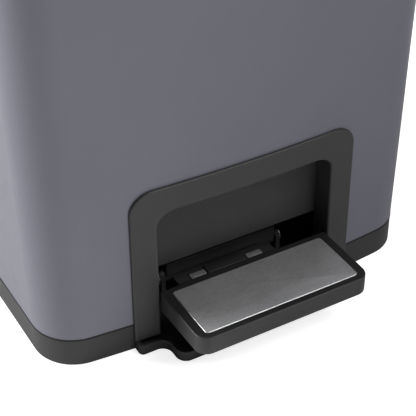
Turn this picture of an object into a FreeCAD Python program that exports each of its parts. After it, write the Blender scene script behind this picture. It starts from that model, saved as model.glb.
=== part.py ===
"""Double recycling bin: a pedal-operated steel bin with a bowed front, two inner buckets
side by side and one wide lid. X runs to the right, Y to the back, Z up, in millimetres.
The origin is on the floor, in the middle of the bin's bounding box."""
import FreeCAD, Part
import Sketcher
import math
import os

# ---------------------------------------------------------------- driving dimensions
DIMENSIONS = {
    # painted steel body
    "body_width": 336, "body_top_width": 361, "body_depth": 320, "body_top": 585,
    "corner_radius": 36, "bow_radius": 1351, "sheet_thickness": 1.2,
    # reach of the pedal in front of the body and of the rear grip behind it
    "pedal_reach": 63, "grip_reach": 12,
    # base tray and feet
    "foot_gap": 1, "skirt_top": 25, "tray_wall": 3, "lip_height": 12, "foot_diameter": 22,
    "tongue_width": 153, "tongue_reach": 30.5, "tongue_height": 10, "tongue_lip": 2.6,
    "tongue_shoulder_width": 199, "tongue_shoulder_reach": 6.6, "tongue_floor": 5,
    "tongue_corner": 9, "tongue_shoulder_corner": 4, "tongue_root": 5, "tongue_recess_root": 8,
    "foot_offset_side": 40, "foot_offset_end": 38, "foot_seat": 1.5, "ear_margin": 2,
    "post_diameter": 12, "post_offset_side": 28, "post_offset_front": 50, "post_offset_back": 26,
    "screw_hole_depth": 20, "screw_reach": 14,
    # surround of the pedal recess
    "surround_width": 200, "surround_top": 151, "surround_bottom": 10, "surround_corner": 20,
    "surround_proud": 2.6, "opening_width": 156, "opening_top": 130, "opening_corner": 16,
    "recess_depth": 20, "recess_wall": 3, "back_panel_bottom": 60,
    "back_panel_thickness": 2.5, "back_panel_side_lap": 7, "back_panel_top_lap": 4, "back_panel_corner": 6,
    "surround_boss_length": 12, "surround_land": 0.6, "surround_screw_offset": 2.5,
    "surround_screw_low": 14, "surround_screw_high": 12,
    # pedal
    "tread_width": 154, "tread_top": 50, "tread_height": 22, "tread_back": 3,
    "tread_corner": 11, "tread_back_corner": 2, "tread_toe_radius": 6, "tread_top_radius": 1.2,
    "tread_wall": 2.4, "plate_width": 135.4, "plate_depth": 54.5,
    "plate_front": 6, "plate_thickness": 1.4, "plate_sink": 0.2, "plate_corner": 3,
    "plate_edge_radius": 0.5, "window_inner": 19, "window_width": 15.5, "window_front": 28,
    "window_depth": 7, "rivet_front": 13, "rivet_back": 32, "rivet_boss": 10, "rivet_head_height": 1.5,
    "axle_diameter": 8, "axle_back": 47, "axle_height": 26, "barrel_diameter": 14,
    "barrel_length": 104, "web_width": 92, "web_thickness": 3.5, "ear_thickness": 4,
    "axle_end": 4, "axle_chamfer": 0.6, "clip_thickness": 1.2, "clip_rim": 3.5,
    # lever and lift rod
    "lever_width": 24, "lever_thickness": 2, "lever_flange": 8, "lever_front": 5,
    "lever_tail": 10, "lever_flange_start": 12, "lever_slot_play": 1.5, "rod_diameter": 5,
    "rod_pin_height": 14, "rod_side": 18, "rod_head_thickness": 3,
    "rod_head_margin": 5, "rod_head_end": 4, "rod_foot_reach": 3,
    "rod_slot_play": 0.7, "rod_slot_end_play": 0.4,
    # shelf, buckets and top rim
    "shelf_height": 62, "shelf_thickness": 4, "bucket_wall": 2.2, "bucket_taper": 12,
    "bucket_front": 24, "bucket_back": 60, "bucket_side_gap": 15.5, "bucket_top": 592,
    "bucket_corner": 22, "bucket_gap": 10, "bucket_flange": 4, "bucket_rim_height": 3,
    "hand_hole_width": 84, "hand_hole_height": 22, "hand_hole_drop": 16, "hand_hole_corner": 10,
    "shelf_side_gap": 1.5, "shelf_end_gap": 0.5, "shelf_front_corner": 14, "shelf_back_corner": 34,
    "shelf_rib_height": 5, "shelf_rib_inner": 1.5, "shelf_rib_outer": 3.5, "rod_slot_half": 7,
    "rim_height": 15, "rim_edge_radius": 2, "rim_opening_margin": 1.5,
    "crank_slot_left": 6, "crank_slot_right": 12, "crank_slot_front": 3, "crank_slot_back": 8,
    # lid and hinge
    "lid_height": 38, "lid_gap": 2, "lid_overhang": 1, "lid_edge_radius": 9,
    "liner_wall": 2.5, "hinge_inset": 18, "hinge_height": 6.5, "hinge_gap": 7,
    "hinge_shaft_diameter": 6, "hinge_side_gap": 60.5, "crank_radius": 26, "lid_travel": 75,
    "crank_thickness": 3, "crank_margin": 2.4, "crank_side_gap": 0.8, "pin_overhang": 1.5,
    "arm_rise": 19, "arm_reach": 40, "arm_screw_near": 32, "arm_screw_far": 52, "lid_corner": 12,
    "notch_height": 7, "notch_side": 4, "crank_notch_half": 9, "crank_notch_shift": 3,
    "pin_diameter": 5,
    "bracket_width": 40, "bracket_plate": 1.6, "bracket_front": 7, "bracket_back": 9,
    "bracket_screw_inset": 5, "shaft_left_end": 6, "shaft_right_end": 16, "damper_gap": 3,
    "damper_length": 20, "damper_foot": 1.5, "damper_bore": 14, "bracket_ear": 2,
    "arm_width": 12, "arm_thickness": 3,
    # guides, grip, buffers and screws
    "guide_low": 180, "guide_high": 420, "guide_height": 14, "grip_bottom": 505, "grip_height": 40,
    "grip_width": 110, "grip_wall": 3.5, "guide_margin": 2, "buffer_diameter": 9,
    "buffer_front": 50, "buffer_back": 70, "grip_corner": 8, "grip_back_wall": 1, "screw_diameter": 4,
    "screw_head": 8, "screw_head_height": 2,
    # clearances
    "running_clearance": 0.1, "curved_clearance": 0.3, "loose_clearance": 1,
}

doc = FreeCAD.newDocument("double_recycling_bin")
sheet = doc.addObject("Spreadsheet::Sheet", "sizes")
for row, (alias, number) in enumerate(DIMENSIONS.items(), start=1):
    sheet.set(f"A{row}", alias)
    sheet.set(f"B{row}", str(number))
    sheet.setAlias(f"B{row}", alias)
doc.recompute()


class Size:
    """A length or an angle, known both as a number and as the sheet formula behind it."""

    def __init__(self, number, formula):
        self.number = float(number)
        self.formula = formula

    def __add__(self, other):
        other = as_size(other)
        return Size(self.number + other.number, f"({self.formula} + {other.formula})")

    def __sub__(self, other):
        other = as_size(other)
        return Size(self.number - other.number, f"({self.formula} - {other.formula})")

    def __mul__(self, other):
        other = as_size(other)
        return Size(self.number * other.number, f"({self.formula} * {other.formula})")

    def __truediv__(self, other):
        other = as_size(other)
        return Size(self.number / other.number, f"({self.formula} / {other.formula})")

    def __radd__(self, other):
        return as_size(other) + self

    def __rsub__(self, other):
        return as_size(other) - self

    def __rmul__(self, other):
        return as_size(other) * self

    def __neg__(self):
        return Size(-self.number, f"(-1 * {self.formula})")


def as_size(value):
    return value if isinstance(value, Size) else Size(value, repr(float(value)))


def cosine(angle):
    return Size(math.cos(math.radians(angle.number)), f"cos({angle.formula})")


def sine(angle):
    return Size(math.sin(math.radians(angle.number)), f"sin({angle.formula})")


def root(area):
    return Size(math.sqrt(area.number), f"sqrt({area.formula})")


class Sheet:
    """Reads every dimension of the spreadsheet as a Size: d.body_width and so on."""

    def __getattr__(self, alias):
        return Size(getattr(sheet, alias), "sizes." + alias)


d = Sheet()

# ---------------------------------------------------------------- places worked out once
FRONT = (d.pedal_reach - d.grip_reach - d.body_depth) / 2
BACK = FRONT + d.body_depth
TRAY_BOTTOM = d.foot_gap
TRAY_FLOOR = d.foot_gap + d.tray_wall
RIM_TOP = d.body_top + d.rim_height
SHELF_TOP = d.shelf_height + d.shelf_thickness
OPENING_HALF = d.opening_width / 2
AXLE_Y = FRONT + d.axle_back
HINGE_Y = BACK - d.hinge_inset
HINGE_Z = RIM_TOP + d.hinge_height
HALF_TRAVEL = d.lid_travel / 2
CRANK_SHORT = d.crank_radius * cosine(HALF_TRAVEL)
PIN_Y = HINGE_Y - CRANK_SHORT
PIN_Z = HINGE_Z - d.crank_radius * sine(HALF_TRAVEL)
SLOT_RUN = d.crank_radius - CRANK_SHORT
ROD_Y = PIN_Y - SLOT_RUN / 2
LID_BOTTOM = RIM_TOP + d.lid_gap
LID_TOP = LID_BOTTOM + d.lid_height
LID_BACK = HINGE_Y - d.hinge_gap
LINER_CEILING = LID_TOP - d.sheet_thickness - d.curved_clearance - d.liner_wall
LEVER_TOP = d.axle_height - d.barrel_diameter / 2 - d.curved_clearance
HEAD_HALF_HEIGHT = d.pin_diameter / 2 + d.rod_head_margin
HEAD_HALF_LENGTH = (SLOT_RUN + d.pin_diameter) / 2 + d.rod_head_end
HINGE_SIDE = d.body_top_width / 2 - d.hinge_side_gap
BUCKET_TOP_WIDTH = d.body_top_width / 2 - d.bucket_side_gap - d.bucket_gap / 2 - 2 * d.bucket_flange
BUCKET_TOP_DEPTH = d.body_depth - d.bucket_front - d.bucket_back
BUCKET_BOTTOM_WIDTH = BUCKET_TOP_WIDTH - d.bucket_taper
BUCKET_BOTTOM_DEPTH = BUCKET_TOP_DEPTH - d.bucket_taper
OPENING_BACK = BACK - d.bucket_back + d.bucket_flange + d.rim_opening_margin


# ---------------------------------------------------------------- drawing helpers
def vector(x, y, z=0.0):
    return FreeCAD.Vector(x, y, z)


def bind(item, prop, size):
    item.setExpression(prop, as_size(size).formula)


def constrain(sketch, kind, size, *geometry):
    """A dimension of the sketch that follows the sheet."""
    size = as_size(size)
    index = sketch.addConstraint(Sketcher.Constraint(kind, *geometry, size.number))
    name = f"size_{index}"
    sketch.renameConstraint(index, name)
    sketch.setExpression("Constraints." + name, size.formula)


def place(sketch, geometry, point, x=None, y=None):
    """Fixes a point of a line, an arc or a circle, in one direction or in both."""
    if x is not None:
        constrain(sketch, "DistanceX", x, -1, 1, geometry, point)
    if y is not None:
        constrain(sketch, "DistanceY", y, -1, 1, geometry, point)


def join(sketch, first, first_point, second, second_point):
    sketch.addConstraint(Sketcher.Constraint(
        "Coincident", first, first_point, second, second_point))


def arc_about(sketch, x, y, radius, start, end):
    """A counterclockwise arc between two angles in degrees; its size is fixed by the caller."""
    x, y, radius = as_size(x), as_size(y), as_size(radius)
    circle = Part.Circle(vector(x.number, y.number), vector(0, 0, 1), radius.number)
    arc = Part.ArcOfCircle(circle, math.radians(start), math.radians(end))
    geometry = sketch.addGeometry(arc, False)
    place(sketch, geometry, CENTRE, x, y)
    return geometry


def line_between(sketch, first, first_point, second, second_point):
    """A line from an end of one piece of the outline to an end of another."""
    line = sketch.addGeometry(Part.LineSegment(
        sketch.getPoint(first, first_point), sketch.getPoint(second, second_point)), False)
    join(sketch, first, first_point, line, START)
    join(sketch, line, END, second, second_point)
    return line


START, END, CENTRE = 1, 2, 3


def polygon(*corners):
    """A closed outline of straight lines through its corners."""
    def draw(sketch):
        sizes = [(as_size(x), as_size(y)) for x, y in corners]
        points = [vector(x.number, y.number) for x, y in sizes]
        lines = [sketch.addGeometry(Part.LineSegment(start, end), False)
                 for start, end in zip(points, points[1:] + points[:1])]
        for i, (x, y) in enumerate(sizes):
            join(sketch, lines[i - 1], END, lines[i], START)
            place(sketch, lines[i], START, x, y)
    return draw


def outline(*corners):
    """A closed counterclockwise outline of level and upright lines. A corner is (x, y), or
    (x, y, radius) where it is rounded."""
    def draw(sketch):
        sizes = [[as_size(value) for value in corner] for corner in corners]
        count = len(sizes)
        ends = []
        for i, (x, y, *rounding) in enumerate(sizes):
            before, after = sizes[i - 1], sizes[(i + 1) % count]
            if not rounding:
                point = sketch.addGeometry(Part.Point(vector(x.number, y.number)), True)
                place(sketch, point, START, x, y)
                ends.append((point, START, START))
                continue
            radius = rounding[0]
            level_first = abs(before[1].number - y.number) < 1e-9
            across, upright = (before, after) if level_first else (after, before)
            centre_x = x + radius * (1 if across[0].number > x.number else -1)
            centre_y = y + radius * (1 if upright[1].number > y.number else -1)
            on_level = math.degrees(math.atan2(y.number - centre_y.number, 0))
            on_upright = math.degrees(math.atan2(0, x.number - centre_x.number))
            way_in, way_out = (on_level, on_upright) if level_first else (on_upright, on_level)
            convex = (way_out - way_in) % 360 < 180
            first, last = (way_in, way_out) if convex else (way_out, way_in)
            arc = arc_about(sketch, centre_x, centre_y, radius, first, first + (last - first) % 360)
            constrain(sketch, "Radius", radius, arc)
            enter, leave = (START, END) if convex else (END, START)
            level_end, upright_end = (enter, leave) if level_first else (leave, enter)
            place(sketch, arc, level_end, x=centre_x)
            place(sketch, arc, upright_end, y=centre_y)
            ends.append((arc, enter, leave))
        for i in range(count):
            piece, _, leave = ends[i]
            following, enter, _ = ends[(i + 1) % count]
            line_between(sketch, piece, leave, following, enter)
    return draw


def rectangle(x0, x1, y0, y1, radius=None):
    rounding = () if radius is None else (radius,)
    return outline((x0, y0, *rounding), (x1, y0, *rounding), (x1, y1, *rounding), (x0, y1, *rounding))


def portal(half_width, bottom, top, radius):
    """An upright opening with its two top corners rounded."""
    return outline((-half_width, bottom), (half_width, bottom),
                   (half_width, top, radius), (-half_width, top, radius))


def disc(x, y, diameter):
    def draw(sketch):
        x_size, y_size = as_size(x), as_size(y)
        radius = as_size(diameter) / 2
        shape = Part.Circle(vector(x_size.number, y_size.number), vector(0, 0, 1), radius.number)
        circle = sketch.addGeometry(shape, False)
        constrain(sketch, "Radius", radius, circle)
        place(sketch, circle, CENTRE, x_size, y_size)
    return draw


def footprint(width, inset=0, back=None, back_radius=None):
    """The bin's plan: bowed front, straight sides and back, four rounded corners.
    The inset draws the same plan that much further in."""
    def draw(sketch):
        half = as_size(width) / 2 - inset
        radius = d.corner_radius - inset
        rear_radius = radius if back_radius is None else as_size(back_radius)
        rear = (BACK if back is None else back) - inset
        bow = d.bow_radius - inset
        bow_centre = FRONT + d.bow_radius
        side = half - radius
        reach = bow - radius
        corner_y = bow_centre - root(reach * reach - side * side)
        touch_x = side * bow / reach
        lean = math.degrees(math.asin(side.number / reach.number))
        front = arc_about(sketch, 0, bow_centre, bow, -90 - lean, -90 + lean)
        constrain(sketch, "Radius", bow, front)
        place(sketch, front, START, x=-touch_x)
        place(sketch, front, END, x=touch_x)
        right = arc_about(sketch, side, corner_y, radius, -90 + lean, 0)
        join(sketch, front, END, right, START)
        place(sketch, right, END, y=corner_y)
        left = arc_about(sketch, -side, corner_y, radius, 180, 270 - lean)
        join(sketch, front, START, left, END)
        place(sketch, left, START, y=corner_y)
        rear_side, rear_y = half - rear_radius, rear - rear_radius
        right_back = arc_about(sketch, rear_side, rear_y, rear_radius, 0, 90)
        left_back = arc_about(sketch, -rear_side, rear_y, rear_radius, 90, 180)
        for arc, side_end, back_end in ((right_back, START, END), (left_back, END, START)):
            constrain(sketch, "Radius", rear_radius, arc)
            place(sketch, arc, side_end, y=rear_y)
            place(sketch, arc, back_end, x=rear_side if arc == right_back else -rear_side)
        line_between(sketch, right, END, right_back, START)
        line_between(sketch, right_back, END, left_back, START)
        line_between(sketch, left_back, END, left, START)
    return draw


def bow_strip(half_width, proud, clearance):
    """A strip that follows the bowed front from outside, between proud and clearance."""
    def draw(sketch):
        centre = FRONT + d.bow_radius
        half = as_size(half_width)
        arcs = []
        for distance in (proud, clearance):
            radius = d.bow_radius + distance
            spread = math.degrees(math.asin(half.number / radius.number))
            arc = arc_about(sketch, 0, centre, radius, -90 - spread, -90 + spread)
            constrain(sketch, "Radius", radius, arc)
            place(sketch, arc, START, x=-half)
            place(sketch, arc, END, x=half)
            arcs.append(arc)
        outer, inner = arcs
        line_between(sketch, outer, END, inner, END)
        line_between(sketch, inner, START, outer, START)
    return draw


PLANES = {"x": "YZ_Plane", "y": "XZ_Plane", "z": "XY_Plane"}
pieces = []


def new_body(label):
    body = doc.addObject("PartDesign::Body", label)
    body.Label = label
    pieces.append(body)
    return body


def new_sketch(body, name, axis, place, *drawings):
    """A sketch square to an axis, at that place along it. The XZ plane faces -Y."""
    sketch = body.newObject("Sketcher::SketchObject", name)
    plane = [item for item in body.Origin.OriginFeatures if item.Role == PLANES[axis]][0]
    sketch.AttachmentSupport = [(plane, "")]
    sketch.MapMode = "FlatFace"
    bind(sketch, "AttachmentOffset.Base.z", -as_size(place) if axis == "y" else place)
    for draw in drawings:
        draw(sketch)
    return sketch


def add(body, name, axis, low, high, *drawings):
    """Pads the drawings along the axis, from low to high."""
    start = high if axis == "y" else low
    sketch = new_sketch(body, name + "_sketch", axis, start, *drawings)
    pad = body.newObject("PartDesign::Pad", name)
    pad.Profile = sketch
    bind(pad, "Length", as_size(high) - low)
    return pad


def cut(body, name, axis, low, high, *drawings):
    """Pockets the drawings along the axis, from low to high."""
    start = low if axis == "y" else high
    sketch = new_sketch(body, name + "_sketch", axis, start, *drawings)
    pocket = body.newObject("PartDesign::Pocket", name)
    pocket.Profile = sketch
    bind(pocket, "Length", as_size(high) - low)
    return pocket


def loft(body, name, kind, low, low_drawing, high, high_drawing):
    """A straight loft between two level outlines: kind is Additive or Subtractive."""
    feature = body.newObject(f"PartDesign::{kind}Loft", name)
    feature.Profile = new_sketch(body, name + "_low", "z", low, low_drawing)
    feature.Sections = [new_sketch(body, name + "_high", "z", high, high_drawing)]
    feature.Ruled = True
    return feature


def round_edges(body, name, radius, chosen, kind="Fillet"):
    """Fillets or chamfers the edges whose middle point and direction are chosen."""
    doc.recompute()
    names = []
    for index, edge in enumerate(body.Tip.Shape.Edges, start=1):
        middle = edge.valueAt((edge.FirstParameter + edge.LastParameter) / 2)
        if chosen(middle, edge):
            names.append(f"Edge{index}")
    feature = body.newObject("PartDesign::" + kind, name)
    feature.Base = (body.Tip if body.Tip is not feature else feature.BaseFeature, names)
    bind(feature, "Radius" if kind == "Fillet" else "Size", radius)
    return feature


def near(value, size, tolerance=0.05):
    return abs(value - as_size(size).number) < tolerance


# ---------------------------------------------------------------- base
def base_tray():
    body = new_body("base_tray")
    add(body, "skirt", "z", TRAY_BOTTOM, d.skirt_top, footprint(d.body_width))
    lip_top = d.skirt_top + d.lip_height
    lip_inset = d.sheet_thickness + d.curved_clearance
    add(body, "lip", "z", d.skirt_top, lip_top, footprint(d.body_width, lip_inset))
    cut(body, "inside", "z", TRAY_FLOOR, lip_top, footprint(d.body_width, d.tray_wall))
    mouth_half = OPENING_HALF + d.recess_wall + d.curved_clearance
    mouth_back = FRONT + 4 * d.tray_wall
    cut(body, "mouth", "z", d.tongue_height, lip_top,
        rectangle(-mouth_half, mouth_half, FRONT - 1, mouth_back))
    add(body, "tongue", "z", TRAY_BOTTOM, d.tongue_height, tongue_outline(0, d.tongue_root))
    cut(body, "tongue_recess", "z", d.tongue_floor, d.tongue_height,
        tongue_outline(d.tongue_lip, d.tongue_recess_root))
    ears(body)
    add(body, "posts", "z", TRAY_FLOOR, d.shelf_height,
        *[disc(x, y, d.post_diameter) for x, y in post_places()])
    cut(body, "screw_holes", "z", d.shelf_height - d.screw_hole_depth, d.shelf_height,
        *[disc(x, y, d.screw_diameter + d.curved_clearance) for x, y in post_places()])
    cut(body, "foot_seats", "z", TRAY_BOTTOM, TRAY_BOTTOM + d.foot_seat,
        *[disc(x, y, d.foot_diameter + 2 * d.curved_clearance) for x, y in foot_places()])
    return body


def tongue_outline(inset, depth):
    """The foot's outline in front of the skirt, drawn inset from its edge."""
    half = d.tongue_width / 2 - inset
    shoulder = d.tongue_shoulder_width / 2 - inset
    tip = FRONT - d.tongue_reach + inset
    step = FRONT - d.tongue_shoulder_reach + inset
    inside = FRONT + depth
    outer = d.tongue_corner - inset
    inner = d.tongue_corner + inset
    small = d.tongue_shoulder_corner - inset
    return outline((-shoulder, inside), (-shoulder, step, small), (-half, step, inner),
                   (-half, tip, outer), (half, tip, outer),
                   (half, step, inner), (shoulder, step, small), (shoulder, inside))


def ears(body):
    """Two upright ears on the tray's floor carry the pedal's axle."""
    inner = d.barrel_length / 2 + d.loose_clearance
    half = d.barrel_diameter / 2 + d.ear_margin
    top = d.axle_height + half
    shape = outline((AXLE_Y - half, TRAY_FLOOR), (AXLE_Y + half, TRAY_FLOOR),
                    (AXLE_Y + half, top, half - 1), (AXLE_Y - half, top, half - 1))
    for name, low in (("left", -(inner + d.ear_thickness)), ("right", inner)):
        add(body, name + "_ear", "x", low, low + d.ear_thickness, shape)
        cut(body, name + "_bore", "x", low, low + d.ear_thickness,
            disc(AXLE_Y, d.axle_height, d.axle_diameter + 2 * d.running_clearance))


def foot_places():
    side = d.body_width / 2 - d.foot_offset_side
    return [(sign * side, y) for sign in (-1, 1)
            for y in (FRONT + d.foot_offset_end, BACK - d.foot_offset_end)]


def feet():
    body = new_body("feet")
    add(body, "pads", "z", 0, TRAY_BOTTOM + d.foot_seat,
        *[disc(x, y, d.foot_diameter) for x, y in foot_places()])


# ---------------------------------------------------------------- steel body
def body_shell():
    body = new_body("body_shell")
    loft(body, "outside", "Additive", d.skirt_top, footprint(d.body_width),
         d.body_top, footprint(d.body_top_width))
    loft(body, "inside", "Subtractive", d.skirt_top, footprint(d.body_width, d.sheet_thickness),
         d.body_top, footprint(d.body_top_width, d.sheet_thickness))
    half = OPENING_HALF + d.recess_wall + d.curved_clearance
    top = d.opening_top + d.recess_wall + d.curved_clearance
    corner = d.opening_corner + d.recess_wall
    cut(body, "recess_opening", "y", FRONT - 1, FRONT + 10, portal(half, d.skirt_top - 1, top, corner))


# ---------------------------------------------------------------- pedal recess
def pedal_surround():
    body = new_body("pedal_surround")
    half = d.surround_width / 2
    bottom, top = d.surround_bottom, d.surround_top
    add(body, "flange", "z", bottom, top, bow_strip(half, d.surround_proud, d.curved_clearance))
    round_edges(body, "outer_corners", d.surround_corner,
                lambda middle, edge: near(middle.z, top) and near(abs(middle.x), half))
    wall_half = OPENING_HALF + d.recess_wall
    wall_top = d.opening_top + d.recess_wall
    recess_end = FRONT + d.recess_depth
    add(body, "walls", "y", FRONT - 1, recess_end,
        portal(wall_half, bottom, wall_top, d.opening_corner + d.recess_wall))
    cut(body, "bowed_front", "z", bottom, top,
        bow_strip(half, d.surround_proud + 5, d.surround_proud))
    cut(body, "opening", "y", FRONT - 10, recess_end,
        portal(OPENING_HALF, bottom - 1, d.opening_top, d.opening_corner))
    add(body, "bosses", "y", recess_end - d.surround_boss_length, recess_end,
        *[disc(x, z, d.screw_head) for x, z in surround_screw_places()])
    reach = (d.bow_radius + d.surround_proud).number
    centre = (FRONT + d.bow_radius).number

    def on_front(middle, edge):
        ends = [vertex.Point for vertex in edge.Vertexes] + [middle]
        touching = all(abs(math.hypot(p.x, p.y - centre) - reach) < 0.02 for p in ends)
        return touching and middle.z > bottom.number + 1
    round_edges(body, "soft_edges", d.surround_proud - d.curved_clearance - d.surround_land, on_front)


def surround_screw_places():
    side = OPENING_HALF + d.recess_wall + d.surround_screw_offset
    return [(sign * side, z) for sign in (-1, 1)
            for z in (d.back_panel_bottom + d.surround_screw_low, d.opening_top - d.surround_screw_high)]


def recess_back_panel():
    body = new_body("recess_back_panel")
    start = FRONT + d.recess_depth
    half = OPENING_HALF + d.recess_wall + d.back_panel_side_lap
    top = d.opening_top + d.recess_wall + d.back_panel_top_lap
    add(body, "plate", "y", start, start + d.back_panel_thickness,
        rectangle(-half, half, d.back_panel_bottom, top, d.back_panel_corner))
    cut(body, "holes", "y", start, start + d.back_panel_thickness,
        *[disc(x, z, d.screw_diameter + d.curved_clearance) for x, z in surround_screw_places()])


def surround_screws():
    body = new_body("surround_screws")
    start = FRONT + d.recess_depth
    behind = start + d.back_panel_thickness
    add(body, "heads", "y", behind, behind + d.screw_head_height,
        *[disc(x, z, d.screw_head - 1) for x, z in surround_screw_places()])
    add(body, "shanks", "y", start, behind,
        *[disc(x, z, d.screw_diameter) for x, z in surround_screw_places()])


# ---------------------------------------------------------------- pedal
def pedal_tread():
    body = new_body("pedal_tread")
    half = d.tread_width / 2
    front, back = FRONT - d.pedal_reach, FRONT + d.tread_back
    bottom, top = d.tread_top - d.tread_height, d.tread_top
    add(body, "block", "z", bottom, top, outline(
        (-half, front, d.tread_corner), (half, front, d.tread_corner),
        (half, back, d.tread_back_corner), (-half, back, d.tread_back_corner)))
    round_edges(body, "front_underside", d.tread_toe_radius,
                lambda middle, edge: near(middle.z, bottom) and middle.y < (front + d.tread_corner).number + 1)
    round_edges(body, "top_edge", d.tread_top_radius, lambda middle, edge: near(middle.z, top))
    seat = top - d.plate_sink - d.plate_thickness
    inner = half - d.tread_wall
    inner_front, inner_corner = front + 2 * d.tread_wall, d.tread_corner - d.tread_wall
    inner_back = back - d.tread_wall
    cut(body, "underside", "z", bottom, seat - d.tread_wall, outline(
        (-inner, inner_front, inner_corner), (inner, inner_front, inner_corner),
        (inner, inner_back, 1), (-inner, inner_back, 1)))
    cut(body, "plate_seat", "z", seat, top, plate_outline(d.curved_clearance))
    web_half = d.web_width / 2
    web_bottom = d.axle_height - d.web_thickness
    add(body, "back_wall", "z", web_bottom, bottom + 4,
        rectangle(-web_half, web_half, back - d.tread_wall, back))
    add(body, "web", "z", web_bottom, d.axle_height,
        rectangle(-web_half, web_half, back - d.tread_wall, AXLE_Y))
    keel = d.axle_height - d.barrel_diameter / 2
    rib = polygon((front + 28, seat - d.tread_wall), (front + 28, bottom + 3), (back, keel), (AXLE_Y, keel),
                  (AXLE_Y, d.axle_height), (back, d.axle_height), (back - 1, seat - d.tread_wall))
    for name, low in (("left", -web_half), ("right", web_half - d.tread_wall)):
        add(body, name + "_rib", "x", low, low + d.tread_wall, rib)
    add(body, "barrel", "x", -d.barrel_length / 2, d.barrel_length / 2,
        disc(AXLE_Y, d.axle_height, d.barrel_diameter))
    add(body, "bosses", "z", LEVER_TOP, d.axle_height - 1,
        *[disc(0, y, d.rivet_boss) for y in rivet_places()])
    window_outer = d.window_inner + d.window_width
    window_front = FRONT + d.window_front
    window_back = window_front + d.window_depth
    cut(body, "clip_windows", "z", web_bottom - 1, d.axle_height + 1,
        rectangle(-window_outer, -d.window_inner, window_front, window_back),
        rectangle(d.window_inner, window_outer, window_front, window_back))
    cut(body, "rivet_holes", "z", LEVER_TOP, d.axle_height + 1,
        *[disc(0, y, d.screw_diameter + d.running_clearance) for y in rivet_places()])
    cut(body, "bore", "x", -d.barrel_length / 2, d.barrel_length / 2,
        disc(AXLE_Y, d.axle_height, d.axle_diameter + 2 * d.running_clearance))


def rivet_places():
    return [FRONT + d.rivet_front, FRONT + d.rivet_back]


def plate_outline(clearance):
    half = d.plate_width / 2 + clearance
    front = FRONT - d.pedal_reach + d.plate_front
    return rectangle(-half, half, front - clearance, front + d.plate_depth + clearance,
                     d.plate_corner)


def tread_plate():
    body = new_body("tread_plate")
    top = d.tread_top - d.plate_sink
    add(body, "plate", "z", top - d.plate_thickness, top, plate_outline(0))
    round_edges(body, "edge", d.plate_edge_radius, lambda middle, edge: near(middle.z, top))


def pedal_lever():
    """A channel of bent steel that runs back from the pedal under the shelf."""
    body = new_body("pedal_lever")
    half = d.lever_width / 2
    front, back = FRONT + d.lever_front, ROD_Y + d.lever_tail
    add(body, "web", "z", LEVER_TOP - d.lever_thickness, LEVER_TOP, rectangle(-half, half, front, back))
    side = rectangle(front + d.lever_flange_start, back, LEVER_TOP - d.lever_flange, LEVER_TOP, 1.5)
    slot_half = d.rod_diameter / 2 + d.lever_slot_play
    slot_height = d.rod_diameter / 2 + 2 * d.running_clearance
    slot = rectangle(ROD_Y - slot_half, ROD_Y + slot_half, d.rod_pin_height - slot_height,
                     d.rod_pin_height + slot_height, slot_height - 0.1)
    for name, low in (("left", -half), ("right", half - d.lever_thickness)):
        add(body, name + "_flange", "x", low, low + d.lever_thickness, side)
        cut(body, name + "_slot", "x", low, low + d.lever_thickness, slot)
    cut(body, "rivet_holes", "z", LEVER_TOP - d.lever_thickness, LEVER_TOP,
        *[disc(0, y, d.screw_diameter + d.running_clearance) for y in rivet_places()])


def lever_rivets():
    body = new_body("lever_rivets")
    under = LEVER_TOP - d.lever_thickness
    add(body, "shanks", "z", under, d.axle_height,
        *[disc(0, y, d.screw_diameter) for y in rivet_places()])
    add(body, "lower_heads", "z", under - d.rivet_head_height, under,
        *[disc(0, y, d.screw_head) for y in rivet_places()])
    add(body, "upper_heads", "z", d.axle_height, d.axle_height + d.rivet_head_height,
        *[disc(0, y, d.screw_head) for y in rivet_places()])


def pedal_axle():
    body = new_body("pedal_axle")
    end = d.barrel_length / 2 + d.loose_clearance + d.ear_thickness + d.axle_end
    add(body, "rod", "x", -end, end, disc(AXLE_Y, d.axle_height, d.axle_diameter))
    round_edges(body, "ends", d.axle_chamfer, lambda middle, edge: near(abs(middle.x), end), "Chamfer")


def axle_clips():
    body = new_body("axle_clips")
    start = d.barrel_length / 2 + d.loose_clearance + d.ear_thickness
    for name, low in (("left", -(start + d.clip_thickness)), ("right", start)):
        add(body, name + "_clip", "x", low, low + d.clip_thickness,
            disc(AXLE_Y, d.axle_height, d.axle_diameter + 2 * d.clip_rim),
            disc(AXLE_Y, d.axle_height, d.axle_diameter + 2 * d.running_clearance))


# ---------------------------------------------------------------- lift rod
def lift_rod():
    """A bent rod: its foot lies in the lever's slots and its flat head takes the crank's pin."""
    body = new_body("lift_rod")
    foot = -(d.lever_width / 2 + d.rod_foot_reach)
    bend = d.rod_diameter
    head_bottom = PIN_Z - HEAD_HALF_HEIGHT
    profile = new_sketch(body, "section", "x", foot, disc(ROD_Y, d.rod_pin_height, d.rod_diameter))
    path = new_sketch(body, "path", "y", ROD_Y, rod_path(foot, bend, head_bottom + 1))
    pipe = body.newObject("PartDesign::AdditivePipe", "rod")
    pipe.Profile = profile
    pipe.Spine = path
    half = d.rod_head_thickness / 2
    add(body, "head", "x", d.rod_side - half, d.rod_side + half,
        rectangle(ROD_Y - HEAD_HALF_LENGTH, ROD_Y + HEAD_HALF_LENGTH, head_bottom, PIN_Z + HEAD_HALF_HEIGHT,
                  d.rod_head_end))
    slot_half = (SLOT_RUN + d.pin_diameter) / 2 + d.rod_slot_end_play
    slot_height = d.pin_diameter / 2 + d.rod_slot_play
    cut(body, "slot", "x", d.rod_side - half, d.rod_side + half,
        rectangle(ROD_Y - slot_half, ROD_Y + slot_half, PIN_Z - slot_height, PIN_Z + slot_height,
                  d.pin_diameter / 2))


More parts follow.
